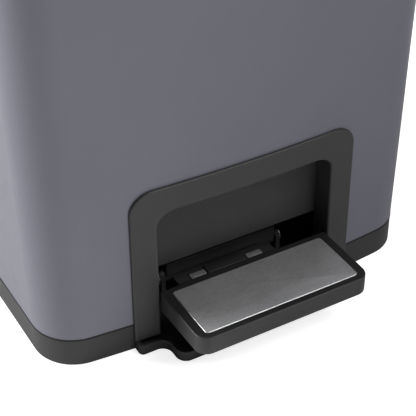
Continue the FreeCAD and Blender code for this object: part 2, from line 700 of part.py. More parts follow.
def rod_path(start_x, bend, top):
    def draw(sketch):
        x, z = d.rod_side, d.rod_pin_height
        arc = arc_about(sketch, x - bend, z + bend, bend, -90, 0)
        constrain(sketch, "Radius", bend, arc)
        place(sketch, arc, START, x=x - bend)
        place(sketch, arc, END, y=z + bend)
        foot = vector(start_x.number, z.number)
        level = sketch.addGeometry(Part.LineSegment(foot, sketch.getPoint(arc, START)), False)
        place(sketch, level, START, start_x, z)
        join(sketch, level, END, arc, START)
        head = vector(x.number, top.number)
        upright = sketch.addGeometry(Part.LineSegment(sketch.getPoint(arc, END), head), False)
        join(sketch, arc, END, upright, START)
        place(sketch, upright, END, x, top)
    return draw


def rod_guides():
    body = new_body("rod_guides")
    half = d.rod_diameter + d.guide_margin
    for name, low in (("low", d.guide_low), ("high", d.guide_high)):
        add(body, name + "_block", "z", low, low + d.guide_height,
            rectangle(d.rod_side - half, d.rod_side + half, ROD_Y - half, BACK - d.sheet_thickness, 1))
        cut(body, name + "_bore", "z", low, low + d.guide_height,
            disc(d.rod_side, ROD_Y, d.rod_diameter + 4 * d.running_clearance))


# ---------------------------------------------------------------- shelf and buckets
def bucket_shelf():
    body = new_body("bucket_shelf")
    half = d.body_width / 2 - d.sheet_thickness - d.shelf_side_gap
    front = FRONT + d.recess_depth + d.back_panel_thickness + d.shelf_end_gap
    back = BACK - d.sheet_thickness - d.shelf_end_gap
    add(body, "plate", "z", d.shelf_height, SHELF_TOP, outline(
        (-half, front, d.shelf_front_corner), (half, front, d.shelf_front_corner),
        (half, back, d.shelf_back_corner), (-half, back, d.shelf_back_corner)))
    for name, side in (("left", -1), ("right", 1)):
        add(body, name + "_rib", "z", SHELF_TOP, SHELF_TOP + d.shelf_rib_height,
            bucket_outline(side, d.shelf_rib_outer, BUCKET_BOTTOM_WIDTH, BUCKET_BOTTOM_DEPTH),
            bucket_outline(side, d.shelf_rib_inner, BUCKET_BOTTOM_WIDTH, BUCKET_BOTTOM_DEPTH))
    cut(body, "rod_slot", "z", d.shelf_height, SHELF_TOP + d.shelf_rib_height,
        rectangle(d.rod_side - d.rod_slot_half, d.rod_side + d.rod_slot_half,
                  ROD_Y - d.rod_slot_half, ROD_Y + d.rod_slot_half, 3))
    cut(body, "holes", "z", d.shelf_height, SHELF_TOP,
        *[disc(x, y, d.screw_diameter + d.curved_clearance) for x, y in post_places()])
    cut(body, "head_seats", "z", SHELF_TOP - d.screw_head_height - 0.2, SHELF_TOP + d.shelf_rib_height,
        *[disc(x, y, d.screw_head + 0.6) for x, y in post_places()])


def post_places():
    side = d.body_width / 2 - d.post_offset_side
    return [(sign * side, y) for sign in (-1, 1)
            for y in (FRONT + d.post_offset_front, BACK - d.post_offset_back)]


def shelf_screws():
    body = new_body("shelf_screws")
    head_bottom = SHELF_TOP - d.screw_head_height - 0.2
    add(body, "shanks", "z", d.shelf_height - d.screw_reach, head_bottom,
        *[disc(x, y, d.screw_diameter) for x, y in post_places()])
    add(body, "heads", "z", head_bottom, SHELF_TOP - 0.2,
        *[disc(x, y, d.screw_head) for x, y in post_places()])


def bucket_middle(side):
    return side * (d.bucket_gap / 2 + d.bucket_flange + BUCKET_TOP_WIDTH / 2)


def bucket_outline(side, grow, width, depth):
    """A bucket's plan at one level; the buckets taper evenly about their middle."""
    middle_x = bucket_middle(side)
    middle_y = FRONT + d.bucket_front + BUCKET_TOP_DEPTH / 2
    half_x = width / 2 + grow
    half_y = depth / 2 + grow
    return rectangle(middle_x - half_x, middle_x + half_x, middle_y - half_y, middle_y + half_y,
                     d.bucket_corner + grow)


def inner_bucket(label, side):
    body = new_body(label)
    top, bottom = d.bucket_top, SHELF_TOP
    wall = d.bucket_wall
    loft(body, "outside", "Additive",
         bottom, bucket_outline(side, 0, BUCKET_BOTTOM_WIDTH, BUCKET_BOTTOM_DEPTH),
         top, bucket_outline(side, 0, BUCKET_TOP_WIDTH, BUCKET_TOP_DEPTH))
    add(body, "rim", "z", top - d.bucket_rim_height, top,
        bucket_outline(side, d.bucket_flange, BUCKET_TOP_WIDTH, BUCKET_TOP_DEPTH))
    loft(body, "inside", "Subtractive",
         bottom + wall, bucket_outline(side, -wall, BUCKET_BOTTOM_WIDTH, BUCKET_BOTTOM_DEPTH),
         top, bucket_outline(side, -wall, BUCKET_TOP_WIDTH, BUCKET_TOP_DEPTH))
    middle = bucket_middle(side)
    hole_half = d.hand_hole_width / 2
    hole_top = top - d.hand_hole_drop
    cut(body, "hand_holes", "y", FRONT + d.bucket_front / 2, BACK - d.bucket_back / 2,
        rectangle(middle - hole_half, middle + hole_half, hole_top - d.hand_hole_height, hole_top,
                  d.hand_hole_corner))
    return body


# ---------------------------------------------------------------- top rim
def top_rim():
    body = new_body("top_rim")
    add(body, "frame", "z", d.body_top, RIM_TOP, footprint(d.body_top_width))
    round_edges(body, "outer_edge", d.rim_edge_radius, lambda middle, edge: near(middle.z, RIM_TOP))
    inset = d.sheet_thickness + 2 * d.curved_clearance
    add(body, "lip", "z", d.body_top - d.lip_height, d.body_top, footprint(d.body_top_width, inset))
    cut(body, "hollow", "z", d.body_top - d.lip_height, RIM_TOP - d.tray_wall,
        footprint(d.body_top_width, inset + d.tray_wall))
    for name, side in (("left", -1), ("right", 1)):
        cut(body, name + "_opening", "z", RIM_TOP - d.tray_wall, RIM_TOP, bucket_outline(
            side, d.bucket_flange + d.rim_opening_margin, BUCKET_TOP_WIDTH, BUCKET_TOP_DEPTH))
    cut(body, "crank_slot", "z", RIM_TOP - d.tray_wall, RIM_TOP,
        rectangle(d.rod_side - d.crank_slot_left, d.rod_side + d.crank_slot_right,
                  OPENING_BACK + d.crank_slot_front, HINGE_Y + d.crank_slot_back, 3))
    cut(body, "screw_holes", "z", RIM_TOP - d.tray_wall, RIM_TOP,
        *[disc(x, y, d.screw_diameter) for x, y in hinge_screw_places()])


def lid_buffers():
    body = new_body("lid_buffers")
    side = d.body_top_width / 2 - d.rim_edge_radius - d.buffer_diameter / 2
    add(body, "pads", "z", RIM_TOP, LID_BOTTOM, *[
        disc(sign * side, y, d.buffer_diameter) for sign in (-1, 1)
        for y in (FRONT + d.buffer_front, BACK - d.buffer_back)])


# ---------------------------------------------------------------- hinge
def hinge_brackets():
    body = new_body("hinge_brackets")
    radius = d.hinge_height - 1.2
    plate_top = RIM_TOP + d.bracket_plate
    for name, side in (("left", -1), ("right", 1)):
        middle = side * HINGE_SIDE
        add(body, name + "_plate", "z", RIM_TOP, plate_top,
            rectangle(middle - d.bracket_width / 2, middle + d.bracket_width / 2,
                      HINGE_Y - d.bracket_front, HINGE_Y + d.bracket_back, 2))
        gap = d.arm_width / 2 + d.loose_clearance
        for ear, low in (("inner", middle - gap - d.bracket_ear), ("outer", middle + gap)):
            add(body, f"{name}_{ear}_ear", "x", low, low + d.bracket_ear, outline(
                (HINGE_Y - radius, RIM_TOP), (HINGE_Y + radius, RIM_TOP),
                (HINGE_Y + radius, HINGE_Z + radius, radius - 0.2),
                (HINGE_Y - radius, HINGE_Z + radius, radius - 0.2)))
            cut(body, f"{name}_{ear}_bore", "x", low, low + d.bracket_ear,
                disc(HINGE_Y, HINGE_Z, d.hinge_shaft_diameter + 2 * d.running_clearance))
    cut(body, "holes", "z", RIM_TOP, plate_top,
        *[disc(x, y, d.screw_diameter + d.curved_clearance) for x, y in hinge_screw_places()])


def hinge_screw_places():
    offset = d.bracket_width / 2 - d.bracket_screw_inset
    return [(side * HINGE_SIDE + shift * offset, HINGE_Y + 1)
            for side in (-1, 1) for shift in (-1, 1)]


def hinge_screws():
    body = new_body("hinge_screws")
    top = RIM_TOP + d.bracket_plate
    add(body, "shanks", "z", RIM_TOP - d.tray_wall - 4, top,
        *[disc(x, y, d.screw_diameter - 0.2) for x, y in hinge_screw_places()])
    add(body, "heads", "z", top, top + 1.8,
        *[disc(x, y, d.screw_head - 1) for x, y in hinge_screw_places()])


def hinge_shaft():
    body = new_body("hinge_shaft")
    left = -(HINGE_SIDE + d.arm_width / 2 + d.shaft_left_end)
    right = HINGE_SIDE + d.bracket_width / 2 + d.shaft_right_end
    add(body, "shaft", "x", left, right, disc(HINGE_Y, HINGE_Z, d.hinge_shaft_diameter))
    return body


def lid_damper():
    """A small rotary damper on the shaft's end slows the closing lid."""
    body = new_body("lid_damper")
    low = HINGE_SIDE + d.bracket_width / 2 + d.damper_gap
    high = low + d.damper_length
    radius = d.hinge_height - 1
    add(body, "base", "z", RIM_TOP, RIM_TOP + d.damper_foot,
        rectangle(low, high, HINGE_Y - 6, HINGE_Y + 8, 2))
    add(body, "drum", "x", low, high, disc(HINGE_Y, HINGE_Z, 2 * radius))
    add(body, "stand", "x", low, high, rectangle(HINGE_Y - 3, HINGE_Y + 3, RIM_TOP, HINGE_Z))
    cut(body, "bore", "x", low, low + d.damper_bore,
        disc(HINGE_Y, HINGE_Z, d.hinge_shaft_diameter + 2 * d.running_clearance))


def lid_arms():
    body = new_body("lid_arms")
    half = d.arm_thickness
    ceiling = LINER_CEILING
    rise_back = HINGE_Y - d.arm_rise
    rise_front = rise_back - d.arm_thickness
    front = rise_front - d.arm_reach
    bar = outline((HINGE_Y, HINGE_Z - half), (HINGE_Y, HINGE_Z), (rise_back, HINGE_Z),
                  (rise_back, ceiling, 1), (front, ceiling), (front, ceiling - d.arm_thickness),
                  (rise_front, ceiling - d.arm_thickness), (rise_front, HINGE_Z - half, 1))
    for name, side in (("left", -1), ("right", 1)):
        low = side * HINGE_SIDE - d.arm_width / 2
        high = low + d.arm_width
        add(body, name + "_bar", "x", low, high, bar)
        add(body, name + "_eye", "x", low, high,
            disc(HINGE_Y, HINGE_Z, 2 * (d.hinge_height - d.bracket_plate - 0.5)))
        cut(body, name + "_bore", "x", low, high,
            disc(HINGE_Y, HINGE_Z, d.hinge_shaft_diameter + d.running_clearance))
    cut(body, "holes", "z", ceiling - d.arm_thickness, ceiling,
        *[disc(x, y, d.screw_diameter + d.curved_clearance) for x, y in lid_screw_places()])


def lid_screw_places():
    return [(side * HINGE_SIDE, HINGE_Y - distance)
            for side in (-1, 1) for distance in (d.arm_screw_near, d.arm_screw_far)]


def lid_screws():
    body = new_body("lid_screws")
    top = LINER_CEILING - d.arm_thickness
    add(body, "shanks", "z", top, LINER_CEILING + d.liner_wall - 0.3,
        *[disc(x, y, d.screw_diameter) for x, y in lid_screw_places()])
    add(body, "heads", "z", top - d.screw_head_height, top,
        *[disc(x, y, d.screw_head) for x, y in lid_screw_places()])


def lid_crank():
    """The crank on the shaft: its pin runs in the slot of the lift rod's head."""
    body = new_body("lid_crank")
    low = d.rod_side + d.rod_head_thickness / 2 + d.crank_side_gap
    high = low + d.crank_thickness
    half = d.pin_diameter / 2 + d.crank_margin
    across_y, across_z = half * sine(HALF_TRAVEL), half * cosine(HALF_TRAVEL)
    add(body, "bar", "x", low, high, polygon(
        (PIN_Y - across_y, PIN_Z + across_z), (PIN_Y + across_y, PIN_Z - across_z),
        (HINGE_Y + across_y, HINGE_Z - across_z), (HINGE_Y - across_y, HINGE_Z + across_z)))
    add(body, "hub", "x", low, high, disc(HINGE_Y, HINGE_Z, 2 * half))
    add(body, "eye", "x", low, high, disc(PIN_Y, PIN_Z, 2 * half))
    add(body, "pin", "x", d.rod_side - d.rod_head_thickness / 2 - d.pin_overhang, low,
        disc(PIN_Y, PIN_Z, d.pin_diameter))
    cut(body, "bore", "x", low, high, disc(HINGE_Y, HINGE_Z, d.hinge_shaft_diameter + d.running_clearance))


# ---------------------------------------------------------------- lid
def lid_plan(inset):
    return footprint(d.body_top_width, inset - d.lid_overhang, LID_BACK - d.lid_overhang,
                     d.lid_corner - inset)


def hollow_cap(body, inset, bottom, top, wall, radius):
    """A cap open below: its outer and inner top edges are rounded about one centre."""
    add(body, "outside", "z", bottom, top, lid_plan(inset))
    cut(body, "inside", "z", bottom, top - wall, lid_plan(inset + wall))
    round_edges(body, "inner_edge", radius - wall, lambda middle, edge: near(middle.z, top - wall))
    round_edges(body, "outer_edge", radius, lambda middle, edge: near(middle.z, top))


def lid_notches(body):
    """The hinge arms and the crank pass through the lid's back wall."""
    top = HINGE_Z + d.notch_height
    half = d.arm_width / 2 + d.notch_side
    crank = d.rod_side + d.crank_notch_shift
    cut(body, "notches", "z", LID_BOTTOM, top, *[
        rectangle(middle - width, middle + width, LID_BACK - 9, LID_BACK + 1)
        for middle, width in ((-HINGE_SIDE, half), (crank, d.crank_notch_half), (HINGE_SIDE, half))])


def lid_panel():
    body = new_body("lid_panel")
    hollow_cap(body, as_size(0), LID_BOTTOM, LID_TOP, d.sheet_thickness, d.lid_edge_radius)
    lid_notches(body)


def lid_liner():
    body = new_body("lid_liner")
    inset = d.sheet_thickness + d.curved_clearance
    hollow_cap(body, inset, LID_BOTTOM, LINER_CEILING + d.liner_wall, d.liner_wall,
               d.lid_edge_radius - d.sheet_thickness)
    lid_notches(body)
    cut(body, "screw_holes", "z", LINER_CEILING, LINER_CEILING + d.liner_wall,
        *[disc(x, y, d.screw_diameter + d.curved_clearance) for x, y in lid_screw_places()])


# ---------------------------------------------------------------- rear grip
def rear_grip():
    body = new_body("rear_grip")
    half = d.grip_width / 2
    top = d.grip_bottom + d.grip_height
    add(body, "block", "y", BACK, BACK + d.grip_reach,
        rectangle(-half, half, d.grip_bottom, top, d.grip_corner))
    inner = half - d.grip_wall
    cut(body, "finger_pocket", "z", d.grip_bottom, top - d.grip_wall,
        rectangle(-inner, inner, BACK + d.grip_back_wall, BACK + d.grip_reach - d.grip_wall, 2))


base_tray()
feet()
body_shell()
pedal_surround()
recess_back_panel()
surround_screws()
pedal_tread()
tread_plate()
pedal_lever()
lever_rivets()
pedal_axle()
axle_clips()
lift_rod()
rod_guides()
bucket_shelf()
shelf_screws()
inner_bucket("bucket_left", -1)
inner_bucket("bucket_right", 1)
top_rim()
lid_buffers()
hinge_brackets()
hinge_screws()
hinge_shaft()
lid_damper()
lid_arms()
lid_screws()
lid_crank()
lid_panel()
lid_liner()
rear_grip()

# ---------------------------------------------------------------- checks and export
doc.recompute()
for item in doc.Objects:
    if "Invalid" in item.State or "Error" in item.State:
        raise RuntimeError(f"{item.Label} is not built: {item.State}")
os.makedirs("parts", exist_ok=True)
whole = FreeCAD.BoundBox()
for piece in pieces:
    shape = piece.Shape
    if shape.isNull() or not shape.isValid() or not shape.Solids:
        raise RuntimeError(f"{piece.Label} has no valid solid")
    whole.add(shape.BoundBox)
    shape.exportStep(f"parts/{piece.Label}.step")
    print(f"{piece.Label}: {len(shape.Solids)} solids, {len(shape.Faces)} faces, {shape.Volume / 1000:.1f} cm3")
print("whole:", whole)
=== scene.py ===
# %% [markdown]
# # A double recycling bin, dressed for the camera
# The bin is a tall pedal bin: a painted steel body with a bowed front, a black base and
# surround, a foot pedal with a brushed steel plate, two buckets inside and one wide lid.
# Its solids come from the CAD frame, in metres, and stay exactly where they are. Blender
# adds what a solid can't say: the look of each material, and fine pieces.

# %% Load the frame
import bmesh
import bpy
import math
from mathutils import Matrix, Vector


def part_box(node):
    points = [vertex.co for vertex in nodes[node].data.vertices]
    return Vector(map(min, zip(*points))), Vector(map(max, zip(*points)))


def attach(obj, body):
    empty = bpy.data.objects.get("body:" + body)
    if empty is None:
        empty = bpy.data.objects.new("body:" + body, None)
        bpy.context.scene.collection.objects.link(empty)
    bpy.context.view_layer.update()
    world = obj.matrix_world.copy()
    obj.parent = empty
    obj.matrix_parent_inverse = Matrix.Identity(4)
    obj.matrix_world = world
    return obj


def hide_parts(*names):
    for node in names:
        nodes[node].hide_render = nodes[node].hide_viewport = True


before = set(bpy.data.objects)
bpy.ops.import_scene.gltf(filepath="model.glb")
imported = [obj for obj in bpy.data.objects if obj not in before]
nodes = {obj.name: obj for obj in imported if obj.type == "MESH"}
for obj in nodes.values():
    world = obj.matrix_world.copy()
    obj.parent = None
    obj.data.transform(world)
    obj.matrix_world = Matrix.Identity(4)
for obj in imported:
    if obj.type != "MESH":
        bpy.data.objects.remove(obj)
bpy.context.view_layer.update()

# %% [markdown]
# ## Shader groups
# Each effect that several materials share is a node group with named sockets: the fine
# grain of a moulding, the peel of sprayed paint, brushing, and the slow, cloudy change
# that hands and dust leave. A group is built once and placed with its own values, so a
# change in one place reaches every material. All of them read Object coordinates, which
# are metres here, so a scale of 1000 means features of about a millimetre.

# %% Tools for building groups
def new_group(name, inputs, outputs):
    """A shader node group; inputs gives each value socket a default, outputs names values."""
    group = bpy.data.node_groups.new(name, "ShaderNodeTree")
    for socket, default in inputs.items():
        made = group.interface.new_socket(name=socket, in_out="INPUT",
                                          socket_type="NodeSocketFloat")
        made.default_value = default
    for socket in outputs:
        group.interface.new_socket(name=socket, in_out="OUTPUT", socket_type="NodeSocketFloat")
    return group, group.nodes.new("NodeGroupInput"), group.nodes.new("NodeGroupOutput")


def add_node(tree, kind, settings=None, **values):
    """A node of that kind, with settings on the node and values on its input sockets."""
    node = tree.nodes.new("ShaderNode" + kind)
    for name, value in (settings or {}).items():
        setattr(node, name, value)
    for name, value in values.items():
        node.inputs[name.replace("_", " ")].default_value = value
    return node


def stretched_coordinates(tree, stretch=(1.0, 1.0, 1.0)):
    """The socket of Object coordinates, squeezed along each axis by that factor."""
    place = add_node(tree, "TexCoord")
    mapping = add_node(tree, "Mapping", Scale=stretch)
    tree.links.new(place.outputs["Object"], mapping.inputs["Vector"])
    return mapping.outputs["Vector"]


def noise_at(tree, where, scale, detail=3.0, roughness=0.5):
    """A noise texture's value socket; scale is a number or a socket."""
    noise = add_node(tree, "TexNoise", Detail=detail, Roughness=roughness)
    tree.links.new(where, noise.inputs["Vector"])
    if isinstance(scale, (int, float)):
        noise.inputs["Scale"].default_value = scale
    else:
        tree.links.new(scale, noise.inputs["Scale"])
    return noise.outputs["Fac"]


def ranged(tree, value, low, high, to_low=0.0, to_high=1.0):
    """The value mapped from low..high to to_low..to_high, held at the ends."""
    node = add_node(tree, "MapRange", From_Min=low, From_Max=high, To_Min=to_low, To_Max=to_high)
    tree.links.new(value, node.inputs["Value"])
    return node.outputs["Result"]


def combined(tree, operation, first, second):
    """Two values, each a number or a socket, put through one Math node."""
    node = add_node(tree, "Math", {"operation": operation})
    for index, value in enumerate((first, second)):
        if isinstance(value, (int, float)):
            node.inputs[index].default_value = value
        else:
            tree.links.new(value, node.inputs[index])
    return node.outputs[0]


print("group tools ready")

# %% [markdown]
# Moulded plastic has a spark-eroded grain: tiny rounded pits, about half a millimetre
# apart. A Voronoi gives the pits and a finer noise breaks them up. Rolled sheet under
# sprayed paint instead shows a soft orange peel, which is a smooth noise alone.

# %% The grain, peel, brushing and cloud groups
BRUSHED_STRETCH = (0.06, 1.0, 1.0)


def grain_group():
    """Rounded pits: Height for the bump, Tone from -1 to 1 for colour and roughness."""
    group, given, result = new_group("moulded_grain", {"Scale": 1400.0}, ("Height", "Tone"))
    where = stretched_coordinates(group)
    pits = add_node(group, "TexVoronoi", {"feature": "SMOOTH_F1"}, Smoothness=0.6)
    group.links.new(where, pits.inputs["Vector"])
    group.links.new(given.outputs["Scale"], pits.inputs["Scale"])
    finer = combined(group, "MULTIPLY", given.outputs["Scale"], 1.9)
    breakup = noise_at(group, where, finer, detail=2.0)
    height = combined(group, "MULTIPLY", pits.outputs["Distance"], breakup)
    group.links.new(height, result.inputs["Height"])
    group.links.new(ranged(group, height, 0.1, 0.4, -1.0, 1.0), result.inputs["Tone"])
    return group


def peel_group():
    """A smooth swell as Height for the bump, and Fleck from 0 to 1 for the bright grains."""
    group, given, result = new_group("paint_peel", {"Scale": 420.0}, ("Height", "Fleck"))
    where = stretched_coordinates(group)
    swell = noise_at(group, where, given.outputs["Scale"], detail=1.0)
    group.links.new(swell, result.inputs["Height"])
    finer = combined(group, "MULTIPLY", given.outputs["Scale"], 9.0)
    speck = noise_at(group, where, finer, detail=0.0)
    group.links.new(ranged(group, speck, 0.56, 0.72), result.inputs["Fleck"])
    return group


def brushed_group():
    """Lines along X: Height for the bump, fine Streak and broad Band from -1 to 1."""
    group, given, result = new_group("brushed_lines", {"Scale": 2600.0},
                                     ("Height", "Streak", "Band"))
    along = stretched_coordinates(group, BRUSHED_STRETCH)
    lines = noise_at(group, along, given.outputs["Scale"], detail=4.0, roughness=0.65)
    group.links.new(lines, result.inputs["Height"])
    group.links.new(ranged(group, lines, 0.3, 0.7, -1.0, 1.0), result.inputs["Streak"])
    wider = combined(group, "MULTIPLY", given.outputs["Scale"], 0.09)
    bands = noise_at(group, along, wider, detail=2.0)
    group.links.new(ranged(group, bands, 0.35, 0.65, -1.0, 1.0), result.inputs["Band"])
    return group


def cloud_group():
    """A slow Cloud from -1 to 1, and Smudge, whose patches run from 0 to 1."""
    group, given, result = new_group("slow_cloud", {"Scale": 14.0}, ("Cloud", "Smudge"))
    where = stretched_coordinates(group)
    slow = noise_at(group, where, given.outputs["Scale"], detail=2.0)
    group.links.new(ranged(group, slow, 0.3, 0.7, -1.0, 1.0), result.inputs["Cloud"])
    quicker = combined(group, "MULTIPLY", given.outputs["Scale"], 4.0)
    patches = noise_at(group, where, quicker, detail=5.0, roughness=0.6)
    group.links.new(ranged(group, patches, 0.5, 0.72), result.inputs["Smudge"])
    return group


GRAIN, PEEL, BRUSHED, CLOUD = grain_group(), peel_group(), brushed_group(), cloud_group()
print("groups:", [group.name for group in (GRAIN, PEEL, BRUSHED, CLOUD)])

# %% [markdown]
# ## Materials
# A colour is written as it looks in the photograph, as 0 to 255 values, and turned into
# the linear numbers a shader works in. `varied` multiplies a colour by small amounts of
# several masks, which keeps a surface from looking like one flat fill.

# %% Tools for building materials
def linear(red, green, blue):
    """A colour given as 0-255 display values, as linear RGBA by the sRGB curve."""
    def one(value):
        value = value / 255
        return value / 12.92 if value <= 0.04045 else ((value + 0.055) / 1.055) ** 2.4
    return (one(red), one(green), one(blue), 1.0)


def new_material(name, **constants):
    """A material with one Principled shader; constants go straight on its sockets."""
    material = bpy.data.materials.new(name)
    material.use_nodes = True
    shader = material.node_tree.nodes["Principled BSDF"]
    for socket, value in constants.items():
        shader.inputs[socket.replace("_", " ")].default_value = value
    return material, material.node_tree, shader


def placed(tree, group, **values):
    """One of the groups placed in a material."""
    node = tree.nodes.new("ShaderNodeGroup")
    node.node_tree = group
    for socket, value in values.items():
        node.inputs[socket].default_value = value
    return node


def varied(tree, base, *changes):
    """A number that starts at base and gains amount x mask for each (mask, amount)."""
    total = base
    for mask, amount in changes:
        total = combined(tree, "ADD", combined(tree, "MULTIPLY", mask, amount), total)
    return total


def shaded(tree, shader, colour, brightness):
    """Links the colour, times the brightness socket, to Base Color."""
    scaled = add_node(tree, "VectorMath", {"operation": "SCALE"})
    scaled.inputs[0].default_value = colour[:3]
    tree.links.new(brightness, scaled.inputs["Scale"])
    tree.links.new(scaled.outputs["Vector"], shader.inputs["Base Color"])


def bumped(tree, shader, height, strength, distance):
    """Links a height to the shader's normal through a Bump node."""
    bump = add_node(tree, "Bump", Strength=strength, Distance=distance)
    tree.links.new(height, bump.inputs["Height"])
    tree.links.new(bump.outputs["Normal"], shader.inputs["Normal"])


print("material tools ready")

# %% [markdown]
# The body is sheet steel with a satin grey coat that has a touch of violet. Real paint is
# a clear binder over pigment with a little mica in it, so the shader has a weak coat, a
# part-metallic base and flecks that lift the brightness here and there.

# %% Painted steel
def paint_material(name, colour):
    """Satin paint with a weak coat; its flecks are brighter and a little glossier."""
    material, tree, shader = new_material(name, Coat_Weight=0.12, Coat_Roughness=0.35,
                                          Metallic=0.25)
    peel, cloud = placed(tree, PEEL), placed(tree, CLOUD)
    brightness = varied(tree, 1.0, (peel.outputs["Fleck"], 0.10), (cloud.outputs["Cloud"], 0.02))
    shaded(tree, shader, colour, brightness)
    rough = varied(tree, 0.44, (cloud.outputs["Smudge"], 0.05), (peel.outputs["Fleck"], -0.06))
    tree.links.new(rough, shader.inputs["Roughness"])
    bumped(tree, shader, peel.outputs["Height"], strength=0.10, distance=0.0001)
    return material


PAINT = paint_material("painted_steel_grey", linear(107, 107, 118))
print("paint:", PAINT.name)

# %% [markdown]
# The base, surround, pedal, rim and lid lining are one black moulding compound. It isn't
# truly black: against the shadow of the recess it shows as a dark grey with a dull sheen.
# The base is a shade darker. The inner parts are darker still, as painted shade for the
# recess and the inside of the bin. The flat rim of the tread is smoother, and darker as
# painted shade on its upward faces. The bar behind it is paler as painted light, the snap
# hooks are paler as a painted highlight, and a nearly black band in the joint is painted
# shadow. The buckets are a plainer, slightly waxy grade of the plastic.

# %% Moulded plastics and rubber
def plastic_material(name, colour, roughness, grain_scale, grain_strength):
    """Grain in colour, roughness and bump; its smudges are a little glossier."""
    material, tree, shader = new_material(name, Specular_IOR_Level=0.42)
    grain, cloud = placed(tree, GRAIN, Scale=grain_scale), placed(tree, CLOUD)
    brightness = varied(tree, 1.0, (grain.outputs["Tone"], 0.10), (cloud.outputs["Cloud"], 0.05))
    shaded(tree, shader, colour, brightness)
    rough = varied(tree, roughness, (cloud.outputs["Smudge"], -0.08), (grain.outputs["Tone"], 0.04))
    tree.links.new(rough, shader.inputs["Roughness"])
    bumped(tree, shader, grain.outputs["Height"], strength=grain_strength, distance=0.0002)
    return material


BLACK = plastic_material("moulded_black", linear(52, 51, 52), 0.48, 1400.0, 0.22)
BASE_BLACK = plastic_material("moulded_black_base", linear(46, 45, 46), 0.50, 1400.0, 0.22)
# painted shade: the recess panel, the parts inside the bin and the skin behind the tread are
# darkened for the shade they lie in
INNER_BLACK_PAINTED_SHADE = plastic_material("moulded_black_inner_painted_shade", linear(44, 43, 44), 0.55, 1100.0, 0.25)
BUCKET = plastic_material("bucket_grey", linear(92, 94, 97), 0.42, 700.0, 0.08)
# painted light: the axle bar is paler than the black moulding, as if lit
BAR_PAINTED_LIGHT_GREY = plastic_material("axle_bar_painted_light", linear(66, 65, 66), 0.45, 1400.0, 0.15)
# smoother black for the tread's flat rim; its darker colour is painted shade on upward faces
SMOOTH_BLACK_SHADED_TOP = plastic_material("smooth_black_painted_shade", linear(34, 34, 34), 0.42, 1400.0, 0.12)
# painted highlight: the snap hooks are a pale grey, as if catching the light
HOOK_PAINTED_HIGHLIGHT_GREY = plastic_material("snap_hook_painted_highlight", linear(118, 119, 120), 0.40, 1400.0, 0.10)
# painted shadow: the near-black band in the joint between the steel body and the base
SEAM_SHADOW_BLACK = plastic_material("painted_seam_shadow", linear(14, 14, 14), 0.70, 1400.0, 0.10)
RUBBER = plastic_material("soft_rubber", linear(38, 38, 39), 0.75, 1800.0, 0.30)
PLASTICS = (BLACK, BASE_BLACK, INNER_BLACK_PAINTED_SHADE, BUCKET, BAR_PAINTED_LIGHT_GREY, SMOOTH_BLACK_SHADED_TOP, HOOK_PAINTED_HIGHLIGHT_GREY,
            SEAM_SHADOW_BLACK, RUBBER)
print("plastics:", [plastic.name for plastic in PLASTICS])

# %% [markdown]
# The plate on the pedal is stainless steel, brushed from left to right. Brushing spreads a
# highlight across the lines, which the noise stretched along X does in both roughness and
# bump. Screws and brackets are steel with a pale zinc coat, which looks mottled; the axle,
# the shaft and the rod are drawn bright, and the plate's rim is polished.

# %% Metals
def stainless_material():
    """Brushed steel: the lines run through its colour, roughness and bump."""
    material, tree, shader = new_material("brushed_stainless", Metallic=0.85)
    lines, cloud = placed(tree, BRUSHED), placed(tree, CLOUD, Scale=30.0)
    grain = placed(tree, GRAIN, Scale=1900.0)
    brightness = varied(tree, 1.0, (lines.outputs["Streak"], 0.17), (lines.outputs["Band"], 0.03),
                        (cloud.outputs["Cloud"], 0.06), (grain.outputs["Tone"], 0.16))
    shaded(tree, shader, linear(212, 212, 213), brightness)
    rough = varied(tree, 0.50, (lines.outputs["Streak"], 0.07), (cloud.outputs["Smudge"], 0.05))
    tree.links.new(rough, shader.inputs["Roughness"])
    bumped(tree, shader, lines.outputs["Height"], strength=0.12, distance=0.0001)
    return material


def zinc_material(name, colour, roughness):
    """Mottled metal: clouds change its colour, and smudges make it a little rougher."""
    material, tree, shader = new_material(name, Metallic=0.95)
    cloud, grain = placed(tree, CLOUD, Scale=90.0), placed(tree, GRAIN, Scale=900.0)
    brightness = varied(tree, 1.0, (cloud.outputs["Cloud"], 0.10), (grain.outputs["Tone"], 0.05))
    shaded(tree, shader, colour, brightness)
    rough = varied(tree, roughness, (cloud.outputs["Smudge"], 0.12))
    tree.links.new(rough, shader.inputs["Roughness"])
    bumped(tree, shader, grain.outputs["Height"], strength=0.06, distance=0.0001)
    return material


STAINLESS = stainless_material()
ZINC = zinc_material("zinc_coated_steel", linear(188, 190, 192), 0.38)
BRIGHT_STEEL = zinc_material("bright_drawn_steel", linear(205, 205, 206), 0.24)
POLISHED = zinc_material("polished_rim", linear(225, 225, 225), 0.42)
print("metals:", [metal.name for metal in (STAINLESS, ZINC, BRIGHT_STEEL, POLISHED)])

# %% [markdown]
# ## The CAD nodes
# A node whose shape is already right only needs its material: its slots are filled, and
# neither its place nor its mesh is touched. The few nodes that a Blender piece stands for
# further on are dressed too, so that the solids alone look right as well.

